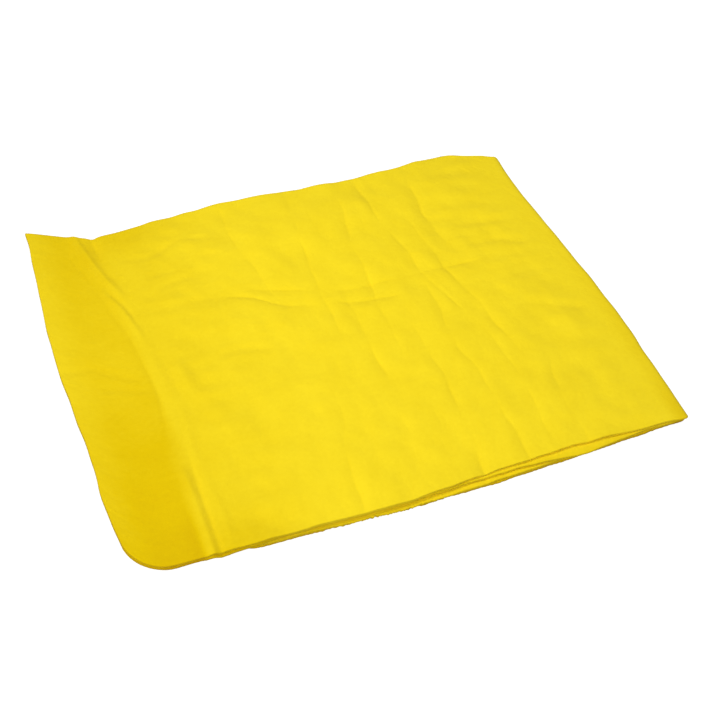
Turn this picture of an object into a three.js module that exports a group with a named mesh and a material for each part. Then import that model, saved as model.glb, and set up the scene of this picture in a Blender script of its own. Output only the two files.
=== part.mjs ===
import * as THREE from 'three';

// A cleaning cloth: one thick soft sheet, folded in half lengthwise and then again crosswise.
// Millimetres, +Z up. +X points to the second fold, +Y to the first fold.

// The flat sheet
const sheetLength = 540;
const sheetWidth = 440;
const sheetThickness = 1.5;
const cutCornerRadius = 16;

// The two folds
const overhang = 40;
const layerGap = 0.3;
const seamGap = 0.3;
const endGap = 0.8;
const turnRun = 10;

// Where the layers stand off each other
const creaseRise = 1;
const creaseRiseReach = 60;
const creaseRiseRun = 120;
const puffHeight = 1.2;
const puffEase = 35;

// How the overhanging strip sinks to the table
const drapeLength = 30;
const drapePower = 2.2;
const tipLift = 2.5;
const tipReach = 70;

// How far the four sides of the folded cloth stray from straight
const leftBow = 4;
const rightWave = 2.6;
const frontWave = 4;
const farWave = 5;
const notchDepth = 6;
const notchReach = 22;
const notchOffset = 7;

// Creases in the top layer
const creaseHalfWidth = 5;
const creaseDepthShare = 0.8;

// Lines of the sides, as shares of the waves above, evenly spaced
const leftShares = [-1, 0.15, 0.5, 0.85, 1, 0.55, -0.1];
const rightShares = [-0.8, -0.05, 0.85, 0.4, -0.55, -1.2, -0.7];
const farShares = [0.5, -1.65, -1.6, -0.75, -0.7, -0.5, 0.1, 0.7, -1.1];
const frontShares = {
  upperOuter: [-0.65, 0.4, 0.43, 0.38, -0.25, -0.27, 0, 0.35],
  upperInner: [-0.65, 0.35, 0.4, 0.9, 0.6, -0.45, -0.2, 0.2],
  lower: [0, 0.22, 0.27, 0.95, 1.05, 0.75, 0.05, -0.2],
};

// Long creases of the top layer: places across the panel and depths, front to far
const longCreases = [
  { placeShares: [0.17, 0.19, 0.26, 0.288, 0.288], depthShares: [0, 0, 0.2, 1, 0.8] },
  { placeShares: [0.28, 0.32, 0.405, 0.417, 0.438], depthShares: [1, 0.6, 0.5, 1, 0.5] },
  { placeShares: [0.547, 0.564, 0.514, 0.56, 0.568], depthShares: [1, 0.7, 0.5, 1, 0.5] },
  { placeShares: [0.66, 0.651, 0.651, 0.647, 0.639], depthShares: [0.6, 0.8, 0.6, 1, 0.8] },
  { placeShares: [0.726, 0.739, 0.739, 0.751, 0.747], depthShares: [0.7, 0.6, 0.8, 1, 0.3] },
  { placeShares: [0.79, 0.81, 0.83, 0.84, 0.85], depthShares: [0.8, 0.8, 0, 0, 0] },
];

// The crease across them: places from front to far and depths, from the strip to the second fold
const crossCrease = {
  placeShares: [0.68, 0.68, 0.66, 0.573, 0.564, 0.582, 0.6, 0.618, 0.64],
  depthShares: [0, 0.6, 1, 0.8, 1, 0.8, 1, 0.8, 0.2],
};

// Facets
const cornerSteps = 6;
const foldSteps = 8;
const turnSteps = 6;
const foldRows = 16;
const lowerSteps = 12;
const upperSteps = 20;
const stripSteps = 3;
const sinkSteps = 4;
const runSteps = 2;
const crossRowsFront = 10;
const crossRowsFar = 5;
const columnsBeforeCreases = [0, 0.03, 0.07, 0.115];
const columnsAfterCreases = [0.9, 0.94, 0.97, 1];

// Sizes that follow
const foldedLength = (sheetLength + overhang) / 2;
const foldedWidth = sheetWidth / 2;
const leftX = -foldedLength / 2;
const rightX = foldedLength / 2;
const frontY = -foldedWidth / 2;
const farY = foldedWidth / 2;
const stripX = leftX + overhang;
const notchX = stripX - notchOffset;
const turnX = rightX - turnRun;
const pitch = sheetThickness + layerGap;

const smooth = THREE.MathUtils.smoothstep;
const mix = THREE.MathUtils.lerp;

// A smooth line through evenly spaced shares, read at t from 0 to 1
function along(shares, t) {
  const last = shares.length - 1;
  const place = THREE.MathUtils.clamp(t, 0, 1) * last;
  const i = Math.min(Math.floor(place), last - 1);
  const u = place - i;
  const before = shares[Math.max(i - 1, 0)];
  const start = shares[i];
  const end = shares[i + 1];
  const after = shares[Math.min(i + 2, last)];
  const slopeIn = (end - before) / 2;
  const slopeOut = (after - start) / 2;
  const bend = 2 * (start - end) + slopeIn + slopeOut;
  const rise = 3 * (end - start) - 2 * slopeIn - slopeOut;
  return start + u * (slopeIn + u * (rise + u * bend));
}

// The far side of the folded cloth, with the notch where the strip starts to sink
function farEdge(x) {
  const notch = notchDepth * Math.exp(-Math.abs(x - notchX) / notchReach);
  return farY + farWave * along(farShares, (x - leftX) / foldedLength) - notch;
}

// How much higher a folded pair stands, as its crease springs open towards the far side
function crease(x, v) {
  const alongX = smooth(x, stripX, stripX + creaseRiseRun);
  return creaseRise * alongX * smooth(v, 1 - creaseRiseReach / foldedWidth, 1);
}

function foldRadius(x) {
  return (2 * sheetThickness + layerGap + crease(x, 1)) / 2;
}

// The line where the flat panels end and the back fold starts
function foldY(x) {
  return farEdge(x) - foldRadius(x);
}

function frontEdge(layer, x, cutX) {
  const reach = THREE.MathUtils.clamp(cutCornerRadius - (x - cutX), 0, cutCornerRadius);
  const corner = cutCornerRadius - Math.sqrt(cutCornerRadius ** 2 - reach ** 2);
  return frontY - frontWave * along(frontShares[layer], (x - leftX) / foldedLength) + corner;
}

// The bow of the left side and the wave of the right side fade out at the crease of the strip
function sideShift(x, y) {
  const v = (y - frontY) / foldedWidth;
  if (x < stripX) {
    return -leftBow * along(leftShares, v) * (stripX - x) / overhang;
  }
  return rightWave * along(rightShares, v) * (x - stripX) / (rightX - stripX);
}

function pointAt(x, y, z) {
  return new THREE.Vector3(x + sideShift(x, y), y, z);
}

// One closed body between two skins, each a list of stations of as many points
function bodyBetween(outer, inner) {
  const stations = outer.length;
  const points = outer[0].length;
  const vertices = [outer, inner].flat(2);
  const at = (skin, i, j) => (skin * stations + i) * points + j;
  const triangles = [];
  const quad = (a, b, c, d) => triangles.push(a, b, c, a, c, d);
  for (let i = 0; i < stations - 1; i += 1) {
    for (let j = 0; j < points - 1; j += 1) {
      quad(at(0, i, j), at(0, i + 1, j), at(0, i + 1, j + 1), at(0, i, j + 1));
      quad(at(1, i, j), at(1, i, j + 1), at(1, i + 1, j + 1), at(1, i + 1, j));
    }
    quad(at(0, i, 0), at(1, i, 0), at(1, i + 1, 0), at(0, i + 1, 0));
    quad(at(0, i, points - 1), at(0, i + 1, points - 1), at(1, i + 1, points - 1), at(1, i, points - 1));
  }
  for (let j = 0; j < points - 1; j += 1) {
    quad(at(0, 0, j), at(0, 0, j + 1), at(1, 0, j + 1), at(1, 0, j));
    quad(at(0, stations - 1, j), at(1, stations - 1, j), at(1, stations - 1, j + 1), at(0, stations - 1, j + 1));
  }
  if (signedVolume(vertices, triangles) < 0) {
    triangles.reverse();
  }
  const geometry = new THREE.BufferGeometry().setFromPoints(vertices);
  geometry.setIndex(triangles);
  geometry.computeVertexNormals();
  return geometry;
}

function signedVolume(vertices, triangles) {
  const cross = new THREE.Vector3();
  let sum = 0;
  for (let i = 0; i < triangles.length; i += 3) {
    const [a, b, c] = [0, 1, 2].map((corner) => vertices[triangles[i + corner]]);
    sum += a.dot(cross.crossVectors(b, c));
  }
  return sum;
}

// A flat layer: its under side from a height at each place, its upper side one thickness above
function layerBody(places, underside) {
  const skin = (lift) => places.map((station) => station.map((place) => (
    pointAt(place.x, place.y, underside(place) + lift)
  )));
  return bodyBetween(skin(sheetThickness), skin(0));
}

// Places of a layer in columns across and rows from front to far
function grid(columns, layer, cutX) {
  return columns.map((x) => {
    const front = frontEdge(layer, x, cutX);
    const far = foldY(x) - seamGap;
    return Array.from({ length: foldRows + 1 }, (_, row) => {
      const v = row / foldRows;
      return { x, y: mix(front, far, v), v };
    });
  });
}

// Columns that turn evenly round a cut corner, then go on to the end of a panel
function cornerColumns(cutX) {
  return Array.from({ length: cornerSteps + 1 }, (_, step) => (
    cutX + cutCornerRadius * (1 - Math.cos((step / cornerSteps) * Math.PI / 2))
  ));
}

function evenColumns(start, end, count) {
  return Array.from({ length: count + 1 }, (_, step) => mix(start, end, step / count));
}

// Height of the under side of each layer, from the table up
const riseOf = {
  lowerOuter: () => 0,
  lowerInner: (x, v) => pitch + crease(x, v),
  upperInner: (x, v) => 2 * pitch + crease(x, v),
  upperOuter: (x, v) => 3 * pitch + 2 * crease(x, v),
};

// The lower half: two plain layers with their ends under the crease of the strip
const lowerEndX = stripX + endGap;
const lowerColumns = [
  ...cornerColumns(lowerEndX),
  ...evenColumns(lowerEndX + cutCornerRadius, turnX - seamGap, lowerSteps).slice(1),
];

function lowerPanel(height) {
  const places = grid(lowerColumns, 'lower', lowerEndX);
  return layerBody(places, ({ x, v }) => height(x, v));
}

// The upper inner layer lies flat on the lower half
const upperColumns = evenColumns(stripX, turnX - seamGap, upperSteps);

function upperInnerPanel() {
  const places = grid(upperColumns, 'upperInner', leftX);
  return layerBody(places, ({ x, v }) => riseOf.upperInner(x, v));
}

// The upper outer layer: its columns and rows run along the creases, which are valleys in its puff
function upperOuterPanel() {
  const panelLength = turnX - seamGap - stripX;
  const halfShare = creaseHalfWidth / panelLength;
  const flank = (line, side) => ({ ...line, placeShares: line.placeShares.map((share) => share + side) });
  const plain = (share) => ({ placeShares: [share, share], depthShares: [0, 0] });
  const flat = (line) => ({ placeShares: line.placeShares, depthShares: [0, 0] });
  const lines = [
    ...columnsBeforeCreases.map(plain),
    ...longCreases.flatMap((line) => [flat(flank(line, -halfShare)), line, flat(flank(line, halfShare))]),
    ...columnsAfterCreases.map(plain),
  ];
  const rows = crossRowsFront + crossRowsFar + 2;
  const rowShare = (row, u) => {
    const valley = along(crossCrease.placeShares, u);
    const halfRow = creaseHalfWidth / foldedWidth;
    if (row <= crossRowsFront) {
      return mix(0, valley - halfRow, row / crossRowsFront);
    }
    if (row === crossRowsFront + 1) {
      return valley;
    }
    return mix(valley + halfRow, 1, (row - crossRowsFront - 2) / crossRowsFar);
  };
  const places = lines.map((line) => Array.from({ length: rows + 1 }, (_, row) => {
    const nearU = along(line.placeShares, row / rows);
    const v = rowShare(row, nearU);
    const u = along(line.placeShares, v);
    const x = stripX + panelLength * u;
    const crossDepth = row === crossRowsFront + 1 ? along(crossCrease.depthShares, u) : 0;
    const y = mix(frontEdge('upperOuter', x, leftX), foldY(x) - seamGap, v);
    return { x, y, v, valley: Math.max(along(line.depthShares, v), crossDepth) };
  }));
  return layerBody(places, ({ x, v, valley }) => {
    const fade = smooth(x, stripX, stripX + puffEase)
      * (1 - smooth(x, turnX - puffEase, turnX - seamGap))
      * (1 - smooth(v, 1 - puffEase / foldedWidth, 1));
    return riseOf.upperOuter(x, v) + puffHeight * fade * (1 - creaseDepthShare * valley);
  });
}

// The strip: both upper layers sink from the top of the lower half to the table
const flapEndX = stripX - seamGap;
const flapColumns = [
  ...cornerColumns(leftX),
  ...evenColumns(leftX + cutCornerRadius, notchX, stripSteps).slice(1),
  ...evenColumns(notchX, flapEndX, sinkSteps).slice(1),
];

function flapHeight(x, v) {
  const fromCrease = stripX - x;
  const left = Math.max(1 - fromCrease / drapeLength, 0);
  const tip = tipLift * (fromCrease / overhang) ** 2 * smooth(v, 1 - tipReach / foldedWidth, 1);
  return 2 * pitch * left ** drapePower + tip;
}

function flapPanel(layer, level) {
  const places = grid(flapColumns, layer, leftX);
  return layerBody(places, ({ x, v }) => level + flapHeight(x, v));
}

// A back fold: half a round tube along the far side, from the lower layer of a pair to its upper one
function backFold(columns, underside) {
  const skin = (inset) => columns.map((x) => Array.from({ length: foldSteps + 1 }, (_, step) => {
    const angle = Math.PI * (step / foldSteps - 1 / 2);
    const radius = foldRadius(x) - inset;
    const y = foldY(x) + radius * Math.cos(angle);
    return pointAt(x, y, underside(x) + foldRadius(x) + radius * Math.sin(angle));
  }));
  return bodyBetween(skin(0), skin(sheetThickness));
}

// The second fold. Its layers go round one line, and are parted halfway up, where the cloth hinges.
// side is -1 for the lower half and 1 for the upper half.
const innerTurnRadius = pitch - layerGap / 2;

function turnHeight(v) {
  return 2 * pitch - layerGap / 2 + crease(rightX, v);
}

function turnStations(radius, height) {
  const lastAngle = Math.acos(seamGap / 2 / radius);
  const centreX = rightX - height;
  const run = evenColumns(turnX, centreX, runSteps).map((x) => ({ x, angle: 0 }));
  const arc = Array.from({ length: turnSteps }, (_, step) => (
    { x: centreX, angle: lastAngle * (step + 1) / turnSteps }
  ));
  return [...run, ...arc];
}

// The line halfway between the two layers of a pair, which gives every part of the turn its place in Y
function turnLineX(station, height) {
  return station.x + (height + innerTurnRadius - sheetThickness) / 2 * Math.sin(station.angle);
}

function turnBody(side, layer, isOuter) {
  const skin = (inset) => Array.from({ length: foldRows + 1 }, (_, row) => {
    const v = row / foldRows;
    const height = turnHeight(v);
    const radius = (isOuter ? height : innerTurnRadius) - inset;
    return turnStations(radius, height).map((station) => {
      const lineX = turnLineX(station, height);
      const y = mix(frontEdge(layer, lineX, leftX), foldY(lineX) - seamGap, v);
      const x = station.x + radius * Math.sin(station.angle) + sideShift(lineX, y);
      return new THREE.Vector3(x, y, height + side * radius * Math.cos(station.angle));
    });
  });
  return bodyBetween(skin(0), skin(sheetThickness));
}

// The back fold goes round the turn too
function cornerTurn(side) {
  const height = turnHeight(1);
  const pairRadius = foldRadius(rightX);
  const middle = (height + innerTurnRadius - sheetThickness) / 2;
  const skin = (inset) => turnStations(middle - pairRadius, height).map((station) => {
    const lineX = turnLineX(station, height);
    return Array.from({ length: foldSteps + 1 }, (_, step) => {
      const angle = Math.PI * (step / foldSteps - 1 / 2);
      const radius = pairRadius - inset;
      const reach = middle + radius * Math.sin(angle);
      const y = foldY(lineX) + radius * Math.cos(angle);
      const x = station.x + reach * Math.sin(station.angle) + sideShift(lineX, y);
      return new THREE.Vector3(x, y, height + side * reach * Math.cos(station.angle));
    });
  });
  return bodyBetween(skin(0), skin(sheetThickness));
}

const pieces = {
  lower_outer_panel: lowerPanel(riseOf.lowerOuter),
  lower_inner_panel: lowerPanel(riseOf.lowerInner),
  lower_back_fold: backFold(lowerColumns, () => 0),
  lower_outer_turn: turnBody(-1, 'lower', true),
  lower_inner_turn: turnBody(-1, 'lower', false),
  lower_corner_turn: cornerTurn(-1),
  upper_inner_panel: upperInnerPanel(),
  upper_outer_panel: upperOuterPanel(),
  upper_back_fold: backFold(upperColumns, (x) => riseOf.upperInner(x, 1)),
  upper_inner_turn: turnBody(1, 'upperInner', false),
  upper_outer_turn: turnBody(1, 'upperOuter', true),
  upper_corner_turn: cornerTurn(1),
  flap_inner_panel: flapPanel('upperInner', 0),
  flap_outer_panel: flapPanel('upperOuter', pitch),
  flap_back_fold: backFold(flapColumns, (x) => flapHeight(x, 1)),
};

// The origin is under the middle of the whole cloth
const cloth = new THREE.Group();
for (const [name, geometry] of Object.entries(pieces)) {
  const chamois = new THREE.MeshStandardMaterial({ color: 0xf7da1f, roughness: 0.95, metalness: 0 });
  const mesh = new THREE.Mesh(geometry, chamois);
  mesh.name = name;
  cloth.add(mesh);
}
const middle = new THREE.Box3().setFromObject(cloth).getCenter(new THREE.Vector3());
cloth.position.set(-middle.x, -middle.y, 0);

export default cloth;
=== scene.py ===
import math

import bpy
import numpy as np
from mathutils import Matrix, Vector, noise


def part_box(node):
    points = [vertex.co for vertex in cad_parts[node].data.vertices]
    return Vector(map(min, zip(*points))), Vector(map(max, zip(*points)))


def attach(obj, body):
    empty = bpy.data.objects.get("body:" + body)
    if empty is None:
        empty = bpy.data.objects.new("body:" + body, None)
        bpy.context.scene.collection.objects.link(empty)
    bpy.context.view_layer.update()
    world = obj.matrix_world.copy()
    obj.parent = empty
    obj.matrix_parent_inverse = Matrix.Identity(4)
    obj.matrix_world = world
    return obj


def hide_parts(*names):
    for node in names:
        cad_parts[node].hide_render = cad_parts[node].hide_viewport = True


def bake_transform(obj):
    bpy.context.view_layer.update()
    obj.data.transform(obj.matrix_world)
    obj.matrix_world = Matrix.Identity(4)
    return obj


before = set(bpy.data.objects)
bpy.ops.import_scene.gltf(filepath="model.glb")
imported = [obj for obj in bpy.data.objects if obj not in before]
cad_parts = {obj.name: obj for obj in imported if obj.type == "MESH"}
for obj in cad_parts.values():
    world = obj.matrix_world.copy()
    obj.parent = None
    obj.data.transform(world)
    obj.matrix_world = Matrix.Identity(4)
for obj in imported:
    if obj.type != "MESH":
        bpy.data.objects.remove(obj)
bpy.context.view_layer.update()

# The sheet and its two folds, in metres
SHEET_WIDTH = 0.440
FOLDED_LENGTH = 0.290
OVERHANG = 0.040
THICKNESS = 0.0015
GAP = 0.0003
PITCH = THICKNESS + GAP
CORNER_RADIUS = 0.0165

# Places of the folds in the frame
STRIP_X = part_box("upper_outer_panel")[0][0]
MIDDLE_Y = 0.00036
LEFT_X = STRIP_X - OVERHANG
RIGHT_X = LEFT_X + FOLDED_LENGTH
FOLDED_WIDTH = SHEET_WIDTH / 2
FRONT_Y = MIDDLE_Y - FOLDED_WIDTH / 2
FAR_Y = MIDDLE_Y + FOLDED_WIDTH / 2
TURN_RUN = 0.010
TURN_X = RIGHT_X - TURN_RUN
PANEL_LENGTH = TURN_X - STRIP_X
LOWER_END_SHIFT = 0.0008
STRIP_SEAM_SHIFT = 0.006
LOWER_END_X = STRIP_X + LOWER_END_SHIFT
STRIP_SEAM_X = STRIP_X + STRIP_SEAM_SHIFT
PARTING = 2 * PITCH - GAP / 2
FLAT_RUN = RIGHT_X - PARTING - TURN_X
TURN_LENGTH = 2 * FLAT_RUN + PITCH * math.pi

# How the four sides stray from straight: sizes, then shares of them, evenly spaced
LEFT_BOW = 0.004
RIGHT_WAVE = 0.0026
FRONT_WAVE = 0.004
FAR_WAVE = 0.005
NOTCH_DEPTH = 0.006
NOTCH_REACH = 0.022
NOTCH_SHIFT = 0.007
NOTCH_X = STRIP_X - NOTCH_SHIFT
LEFT_SHARES = [-0.5, 0.35, 0.4, 0.95, 1.1, 0.7, 0.25]
RIGHT_SHARES = [-0.45, 0.1, 0.75, 0.3, -0.5, -1.35, -0.85]
FAR_SHARES = [0.5, -1.8, -1.45, -0.75, -0.8, -0.7, -0.1, 0.6, -1.0]
FRONT_SHARES = {
    "top": [-0.35, 0.85, 0.7, 1.0, 0.35, -0.03, 0.1, 0.45],
    "third": [-0.35, 0.36, 0.9, 0.73, 0.6, 0.78, 0.95, 0.8, 0.55, 0.5, 0.78, 1.15, 0.55, 0.3, 0.3],
    "second": [0, 0.4, 0.8, 1.35, 1.15, 0.8, 0.2, -0.1],
    "bottom": [0, 0.4, 0.65, 1.1, 1.1, 0.85, 0.3, 0],
}
FRONT_SEEDS = {"top": 11.3, "third": 17.9, "second": 23.1, "bottom": 29.7}
FAR_SEED = 3.7
SIDE_SEED = 8.3

# The outer and the inner layer of each folded pair
LOWER_PAIR = ("bottom", "second")
UPPER_PAIR = ("top", "third")

# Cut edges: their rounding, their fuzz, which is strongest around FRAY_X, and their slow wander
EDGE_ROUND = 0.0005
EDGE_WALL_SHARE = 0.45
EDGE_FUZZ = {"top": 0.0002, "third": 0.0004, "second": 0.0008, "bottom": 0.0011}
EDGE_FUZZ_SIZE = 0.0014
FRAY_X = -0.024
FRAY_REACH = 0.026
CLEAN_SHARE = 0.2
FOLD_CORNER = 0.0024
EDGE_WANDER = 0.0007
EDGE_WANDER_SIZE = 0.014

# Where the layers stand off each other
CREASE_RISE = 0.001
CREASE_RISE_REACH = 0.060
CREASE_RISE_RUN = 0.120
TURN_EASE = 0.060
PUFF = 0.0019
PUFF_EASE = 0.036
PUFF_END_EASE = 0.052
PUFF_FRONT_SHARE = 0.12
PUFF_FRONT_EASE = 0.030

# How the strip sinks to the table
STRIP_RIM = 0.0012
RIM_RISE = 0.018
RIM_FALL = 0.046
RIM_HALF = 0.004
DRAPE_LENGTH = 0.034
TIP_LIFT = 0.0025
TIP_REACH = 0.070

# Small waves that make each crease uneven: how far each turns along the crease, in radians, and its share
LINE_WANDER = 0.0007
LINE_WAVES = [(61, 0.5), (29, 0.8)]
WAVE_SHIFT = 5
CREASE_EVEN_SHARE = 0.62
CREASE_WAVE_SHARE = 0.42

# Creases from the front to the far side of the top layer: places as shares of the panel's length and
# depths as shares, both evenly spaced from front to far. Columns of the mesh run along them.
CREASE_CORE = 0.0013
CREASE_CORE_DEPTH = 0.00028
CREASE_FLANK = 0.0036
CREASE_FLANK_DEPTH = 0.00048
LONG_CREASES = [
    (
        [0.279, 0.288, 0.317, 0.322, 0.313, 0.300, 0.286, 0.267, 0.271],
        [0.8, 0.9, 0.3, 0.25, 0, 0.3, 0.6, 0.8, 0.3],
    ),
    (
        [0.400, 0.398, 0.396, 0.396, 0.398, 0.405, 0.414, 0.432, 0.436],
        [0, 0, 0, 0, 0.5, 1, 1, 0.6, 0],
    ),
    (
        [0.432, 0.434, 0.438, 0.446, 0.448, 0.455, 0.464, 0.474, 0.482],
        [0, 0, 0.3, 1, 0.8, 0, 0, 0, 0],
    ),
    (
        [0.490, 0.494, 0.498, 0.503, 0.510, 0.522, 0.535, 0.555, 0.571],
        [0, 0, 0, 0.2, 0.9, 1, 0.7, 0.8, 0.3],
    ),
    (
        [0.542, 0.554, 0.560, 0.560, 0.562, 0.572, 0.588, 0.597, 0.602],
        [0.9, 0.4, 1, 0.7, 0, 0, 0, 0, 0],
    ),
    (
        [0.648, 0.645, 0.640, 0.627, 0.639, 0.652, 0.643, 0.630, 0.625],
        [0.8, 1, 0.8, 0.9, 0.5, 0.9, 0.6, 0.9, 0.6],
    ),
    (
        [0.716, 0.718, 0.722, 0.708, 0.682, 0.682, 0.675, 0.668, 0.665],
        [0.3, 0.6, 0.7, 0.3, 0, 0, 0, 0, 0],
    ),
    (
        [0.758, 0.762, 0.760, 0.744, 0.729, 0.712, 0.705, 0.706, 0.706],
        [0, 0, 0, 0.8, 0.85, 0.75, 0.5, 0, 0],
    ),
    (
        [0.788, 0.788, 0.804, 0.800, 0.785, 0.766, 0.752, 0.756, 0.762],
        [0.3, 0.5, 0.35, 0, 0, 0, 0.8, 1.0, 0],
    ),
]

# The two creases across them: places as shares of the width, from the strip to the second fold
CROSS_CREASES = [
    (
        [0.708, 0.698, 0.690, 0.679, 0.650, 0.604, 0.591, 0.573, 0.558]
        + [0.555, 0.566, 0.578, 0.574, 0.575, 0.583, 0.595, 0.622],
        [0, 0, 0.2, 0.9, 1, 1, 0.8, 0.7, 1, 0.9, 0.6, 0, 0, 0, 0, 0, 0],
    ),
    (
        [0.740, 0.732, 0.722, 0.707, 0.680, 0.658, 0.636, 0.616, 0.608]
        + [0.607, 0.610, 0.608, 0.601, 0.603, 0.613, 0.627, 0.654],
        [0, 0, 0, 0.1, 0.5, 0.9, 0.5, 0.8, 1, 0.7, 0.9, 0.8, 1, 0.8, 0.45, 0.15, 0],
    ),
]

# Short wrinkles: both ends as shares of the panel's length and width, then width and depth, both in
# millimetres. One with a negative depth is a ridge. Each fades around its ends, within a share of its
# length to both sides.
MILLIMETRE = 0.001
WRINKLE_END_SHARE = 0.25
WRINKLES = [
    (0.013, 0.834, 0.067, 0.827, 2.4, 0.45),
    (0.067, 0.827, 0.138, 0.866, 2.2, 0.60),
    (0.159, 0.872, 0.225, 0.854, 2.2, 0.45),
    (0.167, 0.800, 0.225, 0.795, 2.0, 0.30),
    (0.050, 0.759, 0.084, 0.768, 1.8, 0.35),
    (0.084, 0.768, 0.130, 0.763, 1.8, 0.30),
    (0.034, 0.686, 0.059, 0.716, 2.2, 0.45),
    (0.059, 0.716, 0.138, 0.734, 2.2, 0.45),
    (0.025, 0.905, 0.080, 0.925, 2.2, 0.20),
    (0.046, 0.470, 0.050, 0.395, 3.6, -1.40),
    (0.095, 0.450, 0.140, 0.474, 2.0, 0.35),
    (0.140, 0.474, 0.190, 0.480, 2.0, 0.45),
    (0.190, 0.480, 0.245, 0.458, 2.0, 0.40),
    (0.190, 0.552, 0.250, 0.545, 1.2, 0.22),
    (0.208, 0.527, 0.262, 0.520, 1.2, 0.22),
    (0.217, 0.502, 0.267, 0.494, 1.2, 0.22),
    (-0.175, 0.542, -0.110, 0.533, 2.2, 0.40),
    (-0.110, 0.533, -0.035, 0.455, 1.8, 0.45),
    (-0.110, 0.472, -0.020, 0.420, 1.8, 0.40),
    (0.652, 0.589, 0.685, 0.457, 1.4, 0.40),
    (0.808, 0.655, 0.875, 0.661, 2.5, 0.65),
    (0.875, 0.661, 0.945, 0.632, 2.5, 0.75),
    (0.816, 0.735, 0.941, 0.723, 2.5, 0.60),
    (0.733, 0.695, 0.825, 0.691, 1.6, 0.30),
    (0.737, 0.769, 0.816, 0.769, 1.6, 0.30),
    (0.862, 0.821, 0.904, 0.817, 2.0, 0.30),
    (0.725, 0.520, 0.791, 0.529, 1.3, 0.30),
    (0.850, 0.425, 0.972, 0.372, 2.2, 0.60),
    (0.800, 0.319, 0.885, 0.346, 2.2, 0.45),
    (0.900, 0.540, 0.970, 0.515, 2.0, 0.25),
    (0.400, 0.112, 0.508, 0.103, 1.3, 0.20),
    (0.671, 0.089, 0.729, 0.085, 1.3, 0.20),
    (0.454, 0.289, 0.537, 0.287, 1.6, 0.25),
]

# Ridges and grooves of the pinched crease where the strip starts. Each gives the shares of the width
# between which it runs, its places beside the crease, evenly spaced from front to far, its width and
# its height, all in millimetres. Each fades around its ends, within a share of the width to both sides.
PINCHES = [
    (0.775, 1.10, [-4.4, -9.5, -14.0, -17.6, -21.0], 2.3, 1.45),
    (0.92, 1.10, [-7.6, -9.2], 2.3, -1.20),
    (0.63, 0.785, [-1.6, -3.6, -6.0, -9.8], 1.6, 0.95),
    (0.69, 0.785, [-1.8, -3.8, -7.0], 1.2, -0.35),
    (0.34, 0.93, [-5.6, -3.0, -4.6, -6.4, -10.5, -15.1, -21.4], 1.1, -0.32),
    (0.33, 0.62, [-1.4, 1.2, 1.8, 0.6, 0.1], 2.5, 0.35),
    (-0.10, 0.45, [4.4, 5.4, 5.8, 4.4, 3.4, 4.7, 4.2], 2.2, 0.35),
    (-0.10, 0.24, [-0.3, -0.4, 0.0], 1.5, -0.60),
    (-0.10, 0.22, [-4.0, -4.0, -4.2], 1.8, 0.85),
    (-0.10, 0.12, [-6.5, -8.5], 1.2, -0.25),
    (0.05, 0.30, [20.0, 19.5], 2.6, -0.25),
]
PINCH_END = 0.035
PINCH_EVEN_SHARE = 0.85
PINCH_WAVE_SHARE = 0.15

# Painted shade: where the colour is deeper, as shares of the way from the pale tone to the deep one, in
# place of the shade on the strip, beside its crease, at the corners beside it, in the creases, at cut edges
# and most of all where they meet the table, on the margins of the layers under the top one and beside the
# second fold. TIP_TONE is negative and paints the strip's tip lighter. The strip's tone starts at a line:
# its places beside the strip's crease and its width are in millimetres. They and the strip's tones are
# evenly spaced from front to far.
STRIP_LINE = [-8.0, -6.5, -4.0, -3.2, -3.4, -5.0, -7.5, -8.0, -12.0]
STRIP_LINE_WIDTHS = [5, 8, 14, 5, 4, 5, 12, 20, 20]
STRIP_TONES = [1.3, 1.02, 0.95, 0.7, 0.5, 0.45, 0.56, 0.64, 0.68]
TIP_TONE = -0.5
TIP_START_SHARE = 0.6
EASE_TONE = 0.42
EASE_REACH = 0.070
CORNER_TONE = 0.55
CORNER_START = 0.0175
CORNER_REACH = 0.050
CORNER_HEIGHT = 0.030
CREASE_PAINTED_SHADE = 0.10
EDGE_TONE = 0.3
TABLE_CONTACT_SHADE = 1.2
EDGE_TONE_REACH = 0.0007
INNER_TONE = 0.55
INNER_TONE_REACH = 0.012
FOLD_TONE = 0.35
FOLD_TONE_FADE = (1 / 3, 3 / 4)
FOLD_FRONT_TONE = 0.45
FOLD_FRONT_FADE = (0, 1 / 6)
FOLD_TONE_REACH = (0.004, 0.013)

# Gentle unevenness of a cloth that has been handled: size along x, size along y and height. The strip
# is lifted by a share of the heights, which keeps its hollows above the floor.
SWELLS = [(0.060, 0.055, 0.0007), (0.018, 0.026, 0.00085), (0.008, 0.010, 0.0004)]
SWELL_EASE = 0.030
STRIP_SWELL_SHARE = 0.35
SWELL_LIFT_SHARE = 0.25

# Drag lines near the two ends of the panel: size along x, size along y and height, then between which
# distances from an end they fade
DRAG_LINES = (0.030, 0.0075, 0.0007)
DRAG_REACH = (0.020, 0.070)

# How much of the top layer's relief each layer shares
RELIEF_SHARES = {"top": 1.0, "third": 0.6, "second": 0.4, "bottom": 0.0}

# Facets, and how often the panel's columns and rows are fitted to each other
FINE_SIDE = [0.0004, 0.0009, 0.0017]
COLUMN_COUNTS = [38, 14, 4, 5, 5, 7, 5, 5, 6, 24]
ROW_COUNTS = [76, 3, 44]
INNER_ROWS = 64
LOWER_ROWS = 44
FOLD_STEPS = 12
TURN_STEPS = 11
RUN_STEPS = 5
CORNER_STEPS = 14
LOWER_STEPS = 340
STRIP_STEPS = 46
GRID_PASSES = 3
EDGE_STEPS = [0, 0.00008, 0.0002]
SEAM_STEP = 0.0001
SMOOTH_ANGLE = math.radians(50)


def smooth(value, start, end):
    """0 before start, 1 after end, and a soft S between them."""
    t = np.clip((value - start) / (end - start), 0, 1)
    return t * t * (3 - 2 * t)


def inside(value, start, end, ease):
    """0 outside start and end, and 1 between them, with a soft S of length ease at both."""
    return smooth(value, start, start + ease) * (1 - smooth(value, end - ease, end))


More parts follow.
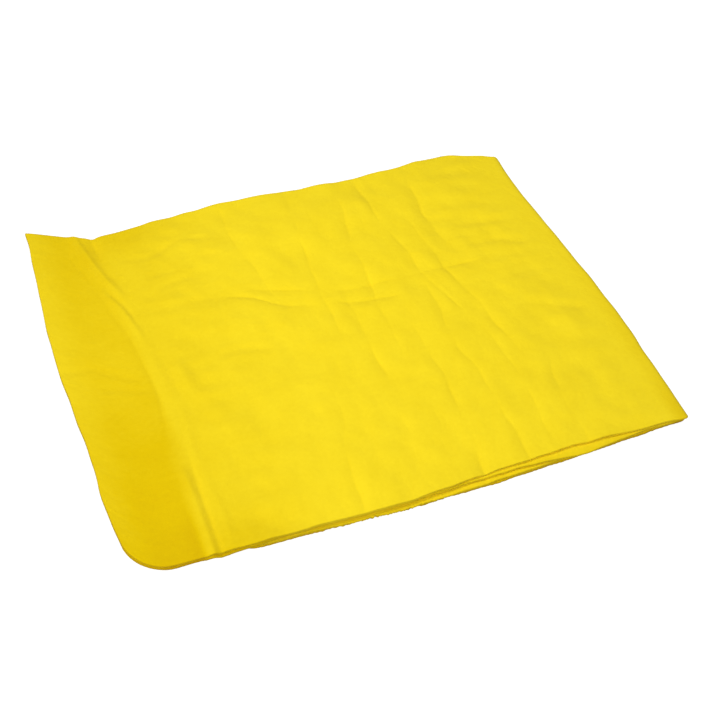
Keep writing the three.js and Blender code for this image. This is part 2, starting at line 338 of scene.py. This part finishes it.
def along(shares, t):
    """A smooth line through evenly spaced shares, read at t from 0 to 1."""
    shares = np.asarray(shares, float)
    last = len(shares) - 1
    place = np.clip(t, 0, 1) * last
    i = np.minimum(np.floor(place).astype(int), last - 1)
    u = place - i
    before = shares[np.maximum(i - 1, 0)]
    start = shares[i]
    end = shares[i + 1]
    after = shares[np.minimum(i + 2, last)]
    slope_in = (end - before) / 2
    slope_out = (after - start) / 2
    bend = 2 * (start - end) + slope_in + slope_out
    rise = 3 * (end - start) - 2 * slope_in - slope_out
    return start + u * (slope_in + u * (rise + u * bend))


def waver(x, y, size, seed):
    """Soft noise from about -1 to 1, whose bumps are about size across."""
    x, y = np.broadcast_arrays(x, y)
    values = [
        noise.noise(Vector((a / size, b / size, seed)))
        for a, b in zip(x.ravel().tolist(), y.ravel().tolist())
    ]
    return np.array(values).reshape(x.shape)


def crease_rise(x, v):
    """How much higher a folded pair stands, as its crease springs open towards the far side."""
    grows = smooth(x, STRIP_X, STRIP_X + CREASE_RISE_RUN)
    near_turn = smooth(x, TURN_X - TURN_EASE, TURN_X)
    far_only = smooth(v, 1 - CREASE_RISE_REACH / FOLDED_WIDTH, 1)
    return CREASE_RISE * grows * (far_only * (1 - near_turn) + v * near_turn)


def far_edge(x):
    """The far side, with its notch beside the strip's crease."""
    notch = NOTCH_DEPTH * np.exp(-np.abs(x - NOTCH_X) / NOTCH_REACH)
    wander = EDGE_WANDER * waver(x, 0 * x, EDGE_WANDER_SIZE, FAR_SEED)
    return FAR_Y + FAR_WAVE * along(FAR_SHARES, (x - LEFT_X) / FOLDED_LENGTH) - notch + wander


def fold_y(x):
    """The line where the flat layers end and the first fold starts."""
    return far_edge(x) - THICKNESS - (GAP + crease_rise(x, 1)) / 2


def front_edge(layer, x, cut_x):
    """The cut front edge of a layer, with its rounded corner at cut_x."""
    reach = np.clip(CORNER_RADIUS - (x - cut_x), 0, CORNER_RADIUS)
    corner = CORNER_RADIUS - np.sqrt(CORNER_RADIUS**2 - reach**2)
    bow = FRONT_WAVE * along(FRONT_SHARES[layer], (x - LEFT_X) / FOLDED_LENGTH)
    seed = FRONT_SEEDS[layer]
    wander = EDGE_WANDER * waver(x, 0 * x, EDGE_WANDER_SIZE, seed)
    frayed = CLEAN_SHARE + (1 - CLEAN_SHARE) * np.exp(-(((x - FRAY_X) / FRAY_REACH) ** 2))
    fuzz = EDGE_FUZZ[layer] * frayed * waver(x, 0 * x, EDGE_FUZZ_SIZE, seed)
    return FRONT_Y - bow + corner + wander + fuzz


def side_shift(x, y):
    """The bow of the left side and the wave of the right side, which fade out at the strip's crease."""
    v = (y - FRONT_Y) / FOLDED_WIDTH
    wander = EDGE_WANDER * waver(y, 0 * y, EDGE_WANDER_SIZE, SIDE_SEED)
    left = (wander - LEFT_BOW * along(LEFT_SHARES, v)) * (STRIP_X - x) / OVERHANG
    right = (wander + RIGHT_WAVE * along(RIGHT_SHARES, v)) * (x - STRIP_X) / (RIGHT_X - STRIP_X)
    return np.where(x < STRIP_X, left, right)


def waves(t, number):
    """An uneven wave around 0, different for each number, read at t."""
    return sum(share * np.sin(turns * t + WAVE_SHIFT * number) for turns, share in LINE_WAVES)


def crease_line(places, t, number):
    """A crease's line with its small wanderings, as shares of a length, read at t."""
    wander = sum(share * np.sin(turns * t + number * (number + turns)) for turns, share in LINE_WAVES)
    return along(places, t) + LINE_WANDER / PANEL_LENGTH * wander


def crease_depth(depths, t, number):
    """How deep a crease is along its line, uneven as a hand leaves it."""
    uneven = CREASE_EVEN_SHARE + CREASE_WAVE_SHARE * waves(t, number)
    return np.clip(along(depths, t), 0, None) * np.clip(uneven, 0, None)


def crease_cores(x, v):
    """Depth of the sharp cores and of the soft flanks of all creases, as shares."""
    u = (x - STRIP_X) / PANEL_LENGTH
    lines = []
    for number, (places, depths) in enumerate(LONG_CREASES):
        aside = x - STRIP_X - PANEL_LENGTH * crease_line(places, v, number)
        lines.append((aside, crease_depth(depths, v, number)))
    for number, (places, depths) in enumerate(CROSS_CREASES):
        aside = FOLDED_WIDTH * (v - crease_line(places, u, number))
        lines.append((aside, crease_depth(depths, u, number)))
    core = sum(depth * np.exp(-((aside / CREASE_CORE) ** 2)) for aside, depth in lines)
    flank = sum(depth * np.exp(-((aside / CREASE_FLANK) ** 2)) for aside, depth in lines)
    on_panel = inside(x, STRIP_X, TURN_X, TURN_RUN)
    return on_panel * core, on_panel * flank


def wrinkle_depth(x, y):
    """Depth of the short wrinkles of the top layer."""
    depth = 0 * x
    for u0, v0, u1, v1, width, size in WRINKLES:
        start = np.array([STRIP_X + u0 * PANEL_LENGTH, FRONT_Y + v0 * FOLDED_WIDTH])
        end = np.array([STRIP_X + u1 * PANEL_LENGTH, FRONT_Y + v1 * FOLDED_WIDTH])
        length = np.hypot(*(end - start))
        run = (end - start) / length
        ahead = ((x - start[0]) * run[0] + (y - start[1]) * run[1]) / length
        aside = ((x - start[0]) * run[1] - (y - start[1]) * run[0]) / MILLIMETRE
        ends = inside(ahead, -WRINKLE_END_SHARE, 1 + WRINKLE_END_SHARE, 2 * WRINKLE_END_SHARE)
        depth += MILLIMETRE * size * ends * np.exp(-((aside / width) ** 2))
    return depth * (1 - smooth(x, TURN_X - TURN_RUN, TURN_X))


def panel_relief(x, y, v):
    """Puff, creases, wrinkles, swells and drag lines of the top layer, above its plain height, and how
    sharply it is creased."""
    wrinkles = wrinkle_depth(x, y)
    on_strip = STRIP_SWELL_SHARE * smooth(STRIP_X - x, 0, SWELL_EASE)
    eased = on_strip + inside(x, STRIP_X, TURN_X, SWELL_EASE)
    height = SWELL_LIFT_SHARE * on_strip * sum(size for _, _, size in SWELLS)
    for seed, (size_x, size_y, size) in enumerate(SWELLS):
        height += eased * size * waver(x / size_x, y / size_y, 1, seed)
    x = np.maximum(x, STRIP_X)
    core, flank = crease_cores(x, v)
    height -= CREASE_CORE_DEPTH * core + CREASE_FLANK_DEPTH * flank + wrinkles
    size_x, size_y, size = DRAG_LINES
    from_end = np.minimum(x - STRIP_X, TURN_X - x)
    ends = smooth(from_end, 0, DRAG_REACH[0]) * (1 - smooth(from_end, *DRAG_REACH))
    height += size * ends * waver(x / size_x, y / size_y, 1, len(SWELLS))
    front = PUFF_FRONT_SHARE + (1 - PUFF_FRONT_SHARE) * smooth(v, 0, PUFF_FRONT_EASE / FOLDED_WIDTH)
    far = 1 - smooth(v, 1 - PUFF_EASE / FOLDED_WIDTH, 1)
    lift = inside(x, STRIP_X, TURN_X, PUFF_END_EASE)
    return height + PUFF * front * far * lift, core


def strip_sink(x, v):
    """How far the strip has sunk, from the height of the upper half to the table."""
    out = (STRIP_X - x) / DRAPE_LENGTH
    tip = np.clip((STRIP_X - x) / OVERHANG, 0, None) ** 2 * smooth(v, 1 - TIP_REACH / FOLDED_WIDTH, 1)
    return TIP_LIFT * tip - 2 * PITCH * smooth(out, 0, 1)


def strip_relief(x, v):
    """The low rim over the end of the lower half, and the pinched crease along it."""
    rising = smooth(x, STRIP_X - RIM_HALF - RIM_RISE, STRIP_X - RIM_HALF)
    falling = 1 - smooth(x, STRIP_X + RIM_HALF, STRIP_X + RIM_HALF + RIM_FALL)
    height = STRIP_RIM * rising * falling
    for number, (start, end, places, width, size) in enumerate(PINCHES):
        aside = (x - STRIP_X) / MILLIMETRE - along(places, (v - start) / (end - start))
        ends = inside(v, start - PINCH_END, end + PINCH_END, 2 * PINCH_END)
        uneven = PINCH_EVEN_SHARE + PINCH_WAVE_SHARE * waves(v, number)
        height += MILLIMETRE * size * ends * uneven * np.exp(-((aside / width) ** 2))
    return height


def painted_shading(x, v):
    """Painted shade on the upper half, from the pale tone at 0 to the deep one at 1: deeper on the strip,
    beside its crease and at the corners beside it, and painted lighter at the strip's tip.
    """
    beyond = MILLIMETRE * along(STRIP_LINE, v) - (x - STRIP_X)
    strip = smooth(beyond / (MILLIMETRE * along(STRIP_LINE_WIDTHS, v)), -1 / 2, 1 / 2)
    tip = smooth(STRIP_X - x, TIP_START_SHARE * OVERHANG, OVERHANG)
    ease = 1 - smooth(x, STRIP_X, STRIP_X + EASE_REACH)
    corners = 1 - smooth(FOLDED_WIDTH * np.minimum(v, 1 - v), 0, CORNER_HEIGHT)
    beside = smooth(x, STRIP_X - CORNER_START, STRIP_X)
    beside *= 1 - smooth(x, STRIP_X, STRIP_X + CORNER_REACH)
    tone = along(STRIP_TONES, v) * strip + TIP_TONE * tip
    return tone + EASE_TONE * ease + CORNER_TONE * corners * beside


def fold_painted_shade(away, v):
    """Painted shade beside the second fold, where the sheet rounds over, at a distance from its middle along
    the sheet.
    """
    tone = FOLD_TONE * (1 - smooth(v, *FOLD_TONE_FADE)) + FOLD_FRONT_TONE * (1 - smooth(v, *FOLD_FRONT_FADE))
    return tone * (1 - smooth(away, *FOLD_TONE_REACH))


def edge_painted_shade(away, top_share, table_share):
    """Painted shade at a distance from a cut edge: at the edge itself, for the shade in the gaps between the
    layers and most of all for the contact shadow on the table, and on the margins of the layers under the
    top one, which it shades."""
    at_edge = (EDGE_TONE + TABLE_CONTACT_SHADE * table_share) * (1 - smooth(away, 0, EDGE_TONE_REACH))
    return at_edge + INNER_TONE * (1 - top_share) * (1 - smooth(away, 0, INNER_TONE_REACH))


def layout(counts, fine):
    """Marks along a line with stops: close together beside each inner stop, evenly spaced between.
    Each mark is a stop's number, a share of the way to the next stop, and an offset."""
    marks = [(0, 0, 0)]
    for k, count in enumerate(counts):
        after = fine[-1] if k > 0 else 0
        before = fine[-1] if k < len(counts) - 1 else 0
        for step in range(1, count + 1):
            share = step / count
            marks.append((k, share, after * (1 - share) - before * share))
        if before:
            marks += [(k + 1, 0, -side) for side in reversed(fine[:-1])]
            marks += [(k + 1, 0, side) for side in [0] + fine]
    return marks


def mark_at(mark, stops):
    """Where a mark is, from the places of the stops."""
    k, share, offset = mark
    if share == 0:
        return stops[k] + offset
    return stops[k] * (1 - share) + stops[k + 1] * share + offset


EDGE_END = EDGE_ROUND / FOLDED_WIDTH
EDGE_MARKS = [(0, 0, step / FOLDED_WIDTH - EDGE_END) for step in EDGE_STEPS]
ROW_MARKS = EDGE_MARKS + layout(ROW_COUNTS, [side / FOLDED_WIDTH for side in FINE_SIDE])


def outer_rows(x):
    """Rows of the outer layer at each x: shares of the way from the front edge to the fold."""
    u = (x - STRIP_X) / PANEL_LENGTH
    lines = [crease_line(places, u, number) for number, (places, _) in enumerate(CROSS_CREASES)]
    stops = [EDGE_END + 0 * x] + lines + [1 + 0 * x]
    return np.stack([mark_at(mark, stops) for mark in ROW_MARKS], axis=-1)


def panel_grid():
    """Places of the top layer's columns and rows, which run along its creases."""
    marks = layout(COLUMN_COUNTS, FINE_SIDE)
    marks.insert(1, (0, 0, SEAM_STEP))
    marks.insert(-1, (len(COLUMN_COUNTS), 0, -SEAM_STEP))
    v = np.tile(outer_rows(np.array([STRIP_X])), (len(marks), 1))
    for _ in range(GRID_PASSES):
        x = []
        for mark, row in zip(marks, v):
            lines = [
                STRIP_X + PANEL_LENGTH * crease_line(places, row, number)
                for number, (places, _) in enumerate(LONG_CREASES)
            ]
            x.append(mark_at(mark, [STRIP_SEAM_X + 0 * row] + lines + [TURN_X + 0 * row]))
        x = np.array(x)
        v = np.stack([outer_rows(x[:, j])[:, j] for j in range(x.shape[1])], axis=1)
    return x, v


def straight_grid(columns, v=None):
    """Straight columns, with the panel's rows where none are given."""
    v = outer_rows(columns) if v is None else np.tile(v, (len(columns), 1))
    return np.tile(columns[:, None], (1, v.shape[1])), v


def even_rows(count):
    """Evenly spaced rows from the front edge, where they are close together, to the fold line."""
    edge = np.array(EDGE_STEPS) / FOLDED_WIDTH
    return np.concatenate([edge, np.linspace(EDGE_END, 1, count + 1)])


def corner_columns(cut_x, end_x, steps):
    """Columns from a cut end, close together there and round its corner, to the seam at end_x."""
    edge = [cut_x + step for step in EDGE_STEPS + [EDGE_ROUND]]
    angles = np.linspace(0, math.pi / 2, CORNER_STEPS + 1)
    corner = [x for x in cut_x + CORNER_RADIUS * (1 - np.cos(angles)) if x > edge[-1] + EDGE_ROUND / 2]
    plain = np.linspace(corner[-1], end_x - SEAM_STEP, steps + 1)[1:]
    return np.array(edge + corner + list(plain) + [end_x])


def folded_section(x, v, pair, cut_x, inner_rows=INNER_ROWS):
    """A folded pair of layers, column by column: along the outer layer to the first fold, round it, and
    back along the inner layer. Gives each point's column, its y, its distance from the plane between the
    two halves, the way it faces, half its thickness, its share of the way from front to fold, and its
    distance from the fold along the sheet."""
    outer, inner = pair
    inner_v = np.tile(even_rows(inner_rows)[::-1], (len(x), 1))
    turn = np.tile(math.pi * np.arange(1, FOLD_STEPS) / FOLD_STEPS, (len(x), 1))
    fold_x = x[:, -1:]
    x = np.hstack([x, fold_x + 0 * turn, fold_x + 0 * inner_v])
    facing = np.hstack([0 * v, turn, math.pi + 0 * inner_v])
    v = np.hstack([v, 1 + 0 * turn, inner_v])
    outside = facing < math.pi / 2
    front = np.where(outside, front_edge(outer, x, cut_x), front_edge(inner, x, cut_x))
    fold = fold_y(x)
    spread = (PITCH + crease_rise(x, v)) / 2
    y = front + (fold - front) * v + spread * np.sin(facing)
    reach = PITCH / 2 + spread * (1 + np.cos(facing))
    to_edge = np.minimum((fold - front) * v, x - cut_x)
    t = np.clip(to_edge / EDGE_ROUND, 0, 1)
    half = THICKNESS / 2 * (EDGE_WALL_SHARE + (1 - EDGE_WALL_SHARE) * np.sqrt(1 - (1 - t) ** 2))
    across = FOLDED_WIDTH * np.where(outside, v - 1, 1 - v) + spread * facing
    return x, y, reach, facing, half, v, across


def skins(section):
    """Both faces of a section: their y, and their distance from the plane between the two halves."""
    _, y, reach, facing, half, _, _ = section
    return [(y + side * half * np.sin(facing), reach + side * half * np.cos(facing)) for side in (1, -1)]


def layer_share(facing, pair):
    """Share of the top layer's relief, from the outer layer round the fold to the inner one."""
    outer, inner = (RELIEF_SHARES[layer] for layer in pair)
    return inner + (outer - inner) * (1 + np.cos(facing)) / 2


# Materials


def linear(hex_colour):
    """An sRGB hex value as a linear colour."""
    values = [int(hex_colour[i : i + 2], 16) / 255 for i in (1, 3, 5)]
    return [c / 12.92 if c <= 0.04045 else ((c + 0.055) / 1.055) ** 2.4 for c in values] + [1]


def add_node(tree, kind, inputs, **settings):
    """A node with its settings, and its inputs given a value or another node's output."""
    node = tree.nodes.new(kind)
    for name, value in settings.items():
        setattr(node, name, value)
    for key, value in inputs.items():
        if isinstance(value, bpy.types.NodeSocket):
            tree.links.new(value, node.inputs[key])
        else:
            node.inputs[key].default_value = value
    return node


def clear_tree(owner):
    """The owner's node tree, emptied."""
    owner.use_nodes = True
    owner.node_tree.nodes.clear()
    return owner.node_tree


# Synthetic chamois: a thick needled non-woven, dyed through and pressed flat. It is quite matt, with a
# short nap, faint clouds from the uneven fibre web and a fine felted grain. The sheet's attribute of
# painted shading deepens the yellow as painted shade on the strip, beside the strip's crease and the
# folds, in the creases and at the cut edges, and pales it as painted light at the strip's tip. Each layer
# of the web has the size of its pattern in metres, its detail and its roughness. The shares say how much
# a layer shows in the tone and in the height of the nap.
CHAMOIS_PALE = "#F9DD20"
CHAMOIS_DEEP = "#EACA0C"
WEB_LAYERS = {
    "clouds": (0.016, 3, 0.55),
    "felt": (0.0024, 4, 0.65),
    "fibres": (0.0007, 2, 0.7),
    "rumples": (0.006, 2, 0.5),
}
TONE_SHARES = {"clouds": 0.45, "felt": 0.60}
HEIGHT_SHARES = {"fibres": 0.35, "rumples": 3}
NAP_STRENGTH = 0.35
NAP_HEIGHT = 0.0003


def chamois_material():
    material = bpy.data.materials.new("synthetic_chamois")
    tree = clear_tree(material)
    flat = add_node(tree, "ShaderNodeUVMap", {}, uv_map="flat_sheet").outputs["UV"]
    web = {}
    for name, (size, detail, roughness) in WEB_LAYERS.items():
        pattern = {"Vector": flat, "Scale": 1 / size, "Detail": detail, "Roughness": roughness}
        web[name] = add_node(tree, "ShaderNodeTexNoise", pattern).outputs["Fac"]
    # The painted shade and light of the sheet, which the clouds and felt of the web then vary at random
    deep = add_node(tree, "ShaderNodeAttribute", {}, attribute_name="painted_shading").outputs["Fac"]
    for name, share in TONE_SHARES.items():
        around = {0: web[name], 1: share, 2: -share / 2}
        stray = add_node(tree, "ShaderNodeMath", around, operation="MULTIPLY_ADD").outputs[0]
        deep = add_node(tree, "ShaderNodeMath", {0: deep, 1: stray}, operation="ADD").outputs[0]
    # Inputs 6 and 7 of a Mix node are its two colours, and output 2 is the mixed one
    tints = {0: deep, 6: linear(CHAMOIS_PALE), 7: linear(CHAMOIS_DEEP)}
    colour = add_node(tree, "ShaderNodeMix", tints, data_type="RGBA", clamp_factor=False)
    height = web["felt"]
    for name, share in HEIGHT_SHARES.items():
        raised = {0: web[name], 1: share, 2: height}
        height = add_node(tree, "ShaderNodeMath", raised, operation="MULTIPLY_ADD").outputs[0]
    relief = {"Height": height, "Strength": NAP_STRENGTH, "Distance": NAP_HEIGHT}
    bump = add_node(tree, "ShaderNodeBump", relief)
    surface = {
        "Base Color": colour.outputs[2],
        "Normal": bump.outputs["Normal"],
        "Roughness": 0.95,
        "Specular IOR Level": 0.08,
        "Sheen Weight": 0.03,
        "Sheen Roughness": 0.5,
    }
    shader = add_node(tree, "ShaderNodeBsdfPrincipled", surface)
    add_node(tree, "ShaderNodeOutputMaterial", {"Surface": shader.outputs[0]})
    return material


chamois = chamois_material()


# The cloth


def deselect_all():
    for obj in bpy.context.selected_objects:
        obj.select_set(False)


def closed_sheet(name, faces, along_sheet, across_sheet, tone):
    """A closed thin body between two faces, each a grid of points, with its map of the flat sheet and its
    painted shade as a point attribute.
    """
    stations, points = faces[0].shape[:2]
    shift = stations * points
    grid = np.arange(shift).reshape(stations, points)
    front = np.stack([grid[:-1, :-1], grid[1:, :-1], grid[1:, 1:], grid[:-1, 1:]], -1).reshape(-1, 4)
    quads = [front, front[:, ::-1] + shift]
    for line in (grid[::-1, 0], grid[:, -1], grid[0, :], grid[-1, ::-1]):
        quads.append(np.stack([line[:-1], line[:-1] + shift, line[1:] + shift, line[1:]], -1))
    mesh = bpy.data.meshes.new(name)
    vertices = np.concatenate([face.reshape(-1, 3) for face in faces])
    mesh.from_pydata(vertices.tolist(), [], np.concatenate(quads).tolist())
    flat = np.stack([along_sheet, across_sheet], -1).reshape(-1, 2)
    corners = np.empty(len(mesh.loops), dtype=np.int32)
    mesh.loops.foreach_get("vertex_index", corners)
    flat_map = mesh.uv_layers.new(name="flat_sheet")
    flat_map.data.foreach_set("uv", flat[corners % shift].astype(np.float32).ravel())
    tones = mesh.attributes.new("painted_shading", "FLOAT", "POINT")
    tones.data.foreach_set("value", np.tile(tone.ravel(), 2).astype(np.float32))
    mesh.materials.append(chamois)
    obj = bpy.data.objects.new(name, mesh)
    bpy.context.collection.objects.link(obj)
    deselect_all()
    obj.select_set(True)
    bpy.context.view_layer.objects.active = obj
    bpy.ops.object.mode_set(mode="EDIT")
    bpy.ops.mesh.select_all(action="SELECT")
    bpy.ops.mesh.normals_make_consistent(inside=False)
    bpy.ops.object.mode_set(mode="OBJECT")
    bpy.ops.object.shade_smooth_by_angle(angle=SMOOTH_ANGLE)
    return obj


def flat_half(name, grid, pair, cut_x, inner_rows=INNER_ROWS):
    """A stretch of the lower half or of the upper half, which the strip is part of."""
    section = folded_section(*grid, pair, cut_x, inner_rows)
    x, y, _, facing, _, v, across = section
    lower = pair == LOWER_PAIR
    share = layer_share(facing, pair)
    relief, creased = panel_relief(x, y, v)
    height = PARTING + crease_rise(x, v) + share * relief
    # Painted shade in the cores of the creases and beside the second fold
    tone = CREASE_PAINTED_SHADE * share * creased + fold_painted_shade(TURN_X - x + TURN_LENGTH / 2, v)
    outer_share = (1 + np.cos(facing)) / 2
    top_share, table_share = (0, outer_share) if lower else (outer_share, 0)
    # Painted shade at the cut edges and on the margins under the top layer, with a painted contact shadow on
    # the table under the lower half
    tone += edge_painted_shade(np.minimum(FOLDED_WIDTH * v, x - cut_x), top_share, table_share)
    if not lower:
        height += strip_sink(x, v) + share * strip_relief(x, v)
        # Painted shade on the strip, beside its crease and at the corners beside it, and painted light at
        # the strip's tip
        tone += painted_shading(x, v)
    faces = []
    for face_y, face_reach in skins(section):
        face_z = height - face_reach if lower else height + face_reach
        faces.append(np.stack([x + side_shift(x, face_y), face_y, face_z], -1))
    along_sheet = x if lower else 2 * TURN_X + TURN_LENGTH - x
    return closed_sheet(name, faces, along_sheet, across, tone)


def second_fold(name):
    """The pair goes round the second fold, from the lower half to the upper half."""
    run = np.linspace(0, 1, RUN_STEPS + 1)
    run = np.concatenate([run[:-1], np.ones(TURN_STEPS + 1), run[-2::-1]])[:, None]
    angle = math.pi * np.clip(np.arange(len(run)) - RUN_STEPS, 0, TURN_STEPS)[:, None] / TURN_STEPS
    v = np.tile(outer_rows(np.array([TURN_X])), (len(run), 1))
    edge_x = TURN_X + (RIGHT_X - TURN_X) * run + 0 * v
    lower = folded_section(edge_x, v, LOWER_PAIR, LOWER_END_X)
    upper = folded_section(edge_x, v, UPPER_PAIR, LEFT_X)
    section_x, _, _, facing, _, section_v, across = lower
    height = PARTING + crease_rise(section_x, section_v)
    flat_x = TURN_X + (RIGHT_X - height - TURN_X) * run
    upper_part = smooth(angle, 0, math.pi)
    faces = []
    for (lower_y, reach), (upper_y, _) in zip(skins(lower), skins(upper)):
        x = flat_x + reach * np.sin(angle)
        into_corner = np.clip(x - RIGHT_X + FOLD_CORNER, 0, FOLD_CORNER)
        corner = FOLD_CORNER - np.sqrt(FOLD_CORNER**2 - into_corner**2)
        y = lower_y + (upper_y - lower_y) * upper_part + corner * (1 - section_v)
        z = height - reach * np.cos(angle)
        faces.append(np.stack([x + side_shift(x, y), y, z], -1))
    travelled = FLAT_RUN * np.where(angle < math.pi / 2, run, 2 - run) + PITCH * angle
    outer_share = (1 + np.cos(facing)) / 2
    # Painted shade beside the second fold
    tone = fold_painted_shade(np.abs(travelled - TURN_LENGTH / 2), section_v)
    # Painted shade at the cut edges, with a painted contact shadow on the table under the lower half's part
    # of the fold
    tone += edge_painted_shade(FOLDED_WIDTH * section_v, upper_part * outer_share, (1 - upper_part) * outer_share)
    return closed_sheet(name, faces, TURN_X + travelled + 0 * across, across, tone)


lower_columns = corner_columns(LOWER_END_X, TURN_X, LOWER_STEPS)
lower_grid = straight_grid(lower_columns, even_rows(LOWER_ROWS))
lower_half = flat_half("lower_half_cloth", lower_grid, LOWER_PAIR, LOWER_END_X, LOWER_ROWS)
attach(lower_half, "lower_half")
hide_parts("lower_outer_panel", "lower_inner_panel", "lower_back_fold")

upper_half = flat_half("upper_half_cloth", panel_grid(), UPPER_PAIR, LEFT_X)
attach(upper_half, "upper_half")
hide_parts("upper_outer_panel", "upper_inner_panel", "upper_back_fold")

strip_columns = corner_columns(LEFT_X, STRIP_SEAM_X, STRIP_STEPS)
strip = flat_half("strip_cloth", straight_grid(strip_columns), UPPER_PAIR, LEFT_X)
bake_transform(strip)
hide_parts("flap_outer_panel", "flap_inner_panel", "flap_back_fold")

turn = second_fold("second_fold_cloth")
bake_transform(turn)
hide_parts("lower_outer_turn", "lower_inner_turn", "lower_corner_turn")
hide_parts("upper_outer_turn", "upper_inner_turn", "upper_corner_turn")


# Floor, light and camera

FLOOR_SIZE = 4.0
FLOOR_DROP = 0.0002
FLOOR_COLOUR = "#B4B4B4"
FLOOR_GLOW = 0.82
WHITE = "#FFFFFF"
WORLD_FILL = 0.17
OVERHEAD_PLACE = (0.000, 0.030, 0.58)
OVERHEAD_TARGET = (0.000, 0.030, 0)
OVERHEAD_SIZE = 0.22
OVERHEAD_SHARE = 0.485
FRONT_LAMP_PLACE = (-1.05, -0.95, 1.23)
FRONT_LAMP_TARGET = (0, 0, 0)
FRONT_LAMP_SIZE = 0.45
FRONT_LAMP_SHARE = 0.36


def background_rays(tree):
    """1 for the rays that show the background: those from the camera, a gloss or a clear body."""
    rays = add_node(tree, "ShaderNodeLightPath", {}).outputs
    straight = {0: rays["Is Camera Ray"], 1: rays["Is Glossy Ray"]}
    seen = add_node(tree, "ShaderNodeMath", straight, operation="MAXIMUM")
    through = {0: seen.outputs[0], 1: rays["Is Transmission Ray"]}
    return add_node(tree, "ShaderNodeMath", through, operation="MAXIMUM").outputs[0]


deselect_all()
bpy.ops.mesh.primitive_plane_add(size=FLOOR_SIZE, location=(0, 0, -FLOOR_DROP))
floor = bpy.context.object
floor.name = "table_top"
table_white = bpy.data.materials.new("white_table_top")
floor_tree = clear_tree(table_white)
paint = add_node(floor_tree, "ShaderNodeBsdfDiffuse", {"Color": linear(FLOOR_COLOUR)})
dimmed = {0: background_rays(floor_tree), 1: FLOOR_GLOW}
glow = add_node(floor_tree, "ShaderNodeMath", dimmed, operation="MULTIPLY")
white = {"Color": linear(WHITE), "Strength": glow.outputs[0]}
shine = add_node(floor_tree, "ShaderNodeEmission", white)
both = add_node(floor_tree, "ShaderNodeAddShader", {0: paint.outputs[0], 1: shine.outputs[0]})
add_node(floor_tree, "ShaderNodeOutputMaterial", {"Surface": both.outputs[0]})
floor.data.materials.append(table_white)

world = bpy.data.worlds.new("white_studio")
bpy.context.scene.world = world
world_tree = clear_tree(world)
levels = {"Value": background_rays(world_tree), "To Min": WORLD_FILL, "To Max": 1}
level = add_node(world_tree, "ShaderNodeMapRange", levels)
white = {"Color": linear(WHITE), "Strength": level.outputs["Result"]}
backdrop = add_node(world_tree, "ShaderNodeBackground", white)
add_node(world_tree, "ShaderNodeOutputWorld", {"Surface": backdrop.outputs[0]})


def soft_lamp(name, place, target, size, share):
    """A square lamp that lights a white surface at target to that share of white."""
    away = Vector(place) - Vector(target)
    lamp = bpy.data.lights.new(name, "AREA")
    lamp.shape = "SQUARE"
    lamp.size = size
    lamp.energy = share * math.pi**2 * away.length**3 / away.z
    obj = bpy.data.objects.new(name, lamp)
    obj.location = place
    obj.rotation_euler = away.to_track_quat("Z", "Y").to_euler()
    bpy.context.collection.objects.link(obj)


soft_lamp("overhead_lamp", OVERHEAD_PLACE, OVERHEAD_TARGET, OVERHEAD_SIZE, OVERHEAD_SHARE)
soft_lamp("front_lamp", FRONT_LAMP_PLACE, FRONT_LAMP_TARGET, FRONT_LAMP_SIZE, FRONT_LAMP_SHARE)

CAMERA_PLACE = Vector((-0.18161, -0.33652, 0.40427))
CAMERA_YAW = math.radians(-29.742)
CAMERA_PITCH = math.radians(48.121)
CAMERA_ROLL = math.radians(9.845)
CAMERA_LENS = 52.5
UP = Vector((0, 0, 1))

level_right = Vector((math.cos(CAMERA_YAW), math.sin(CAMERA_YAW), 0))
level_forward = UP.cross(level_right)
forward = level_forward * math.cos(CAMERA_PITCH) - UP * math.sin(CAMERA_PITCH)
level_up = level_right.cross(forward)
right = level_right * math.cos(CAMERA_ROLL) + level_up * math.sin(CAMERA_ROLL)
up = level_up * math.cos(CAMERA_ROLL) - level_right * math.sin(CAMERA_ROLL)
turned = Matrix((right, up, -forward)).transposed().to_4x4()

lens = bpy.data.cameras.new("camera")
lens.lens = CAMERA_LENS
camera = bpy.data.objects.new("camera", lens)
camera.matrix_world = Matrix.Translation(CAMERA_PLACE) @ turned
bpy.context.collection.objects.link(camera)
bpy.context.scene.camera = camera
bpy.context.scene.view_settings.view_transform = "Standard"
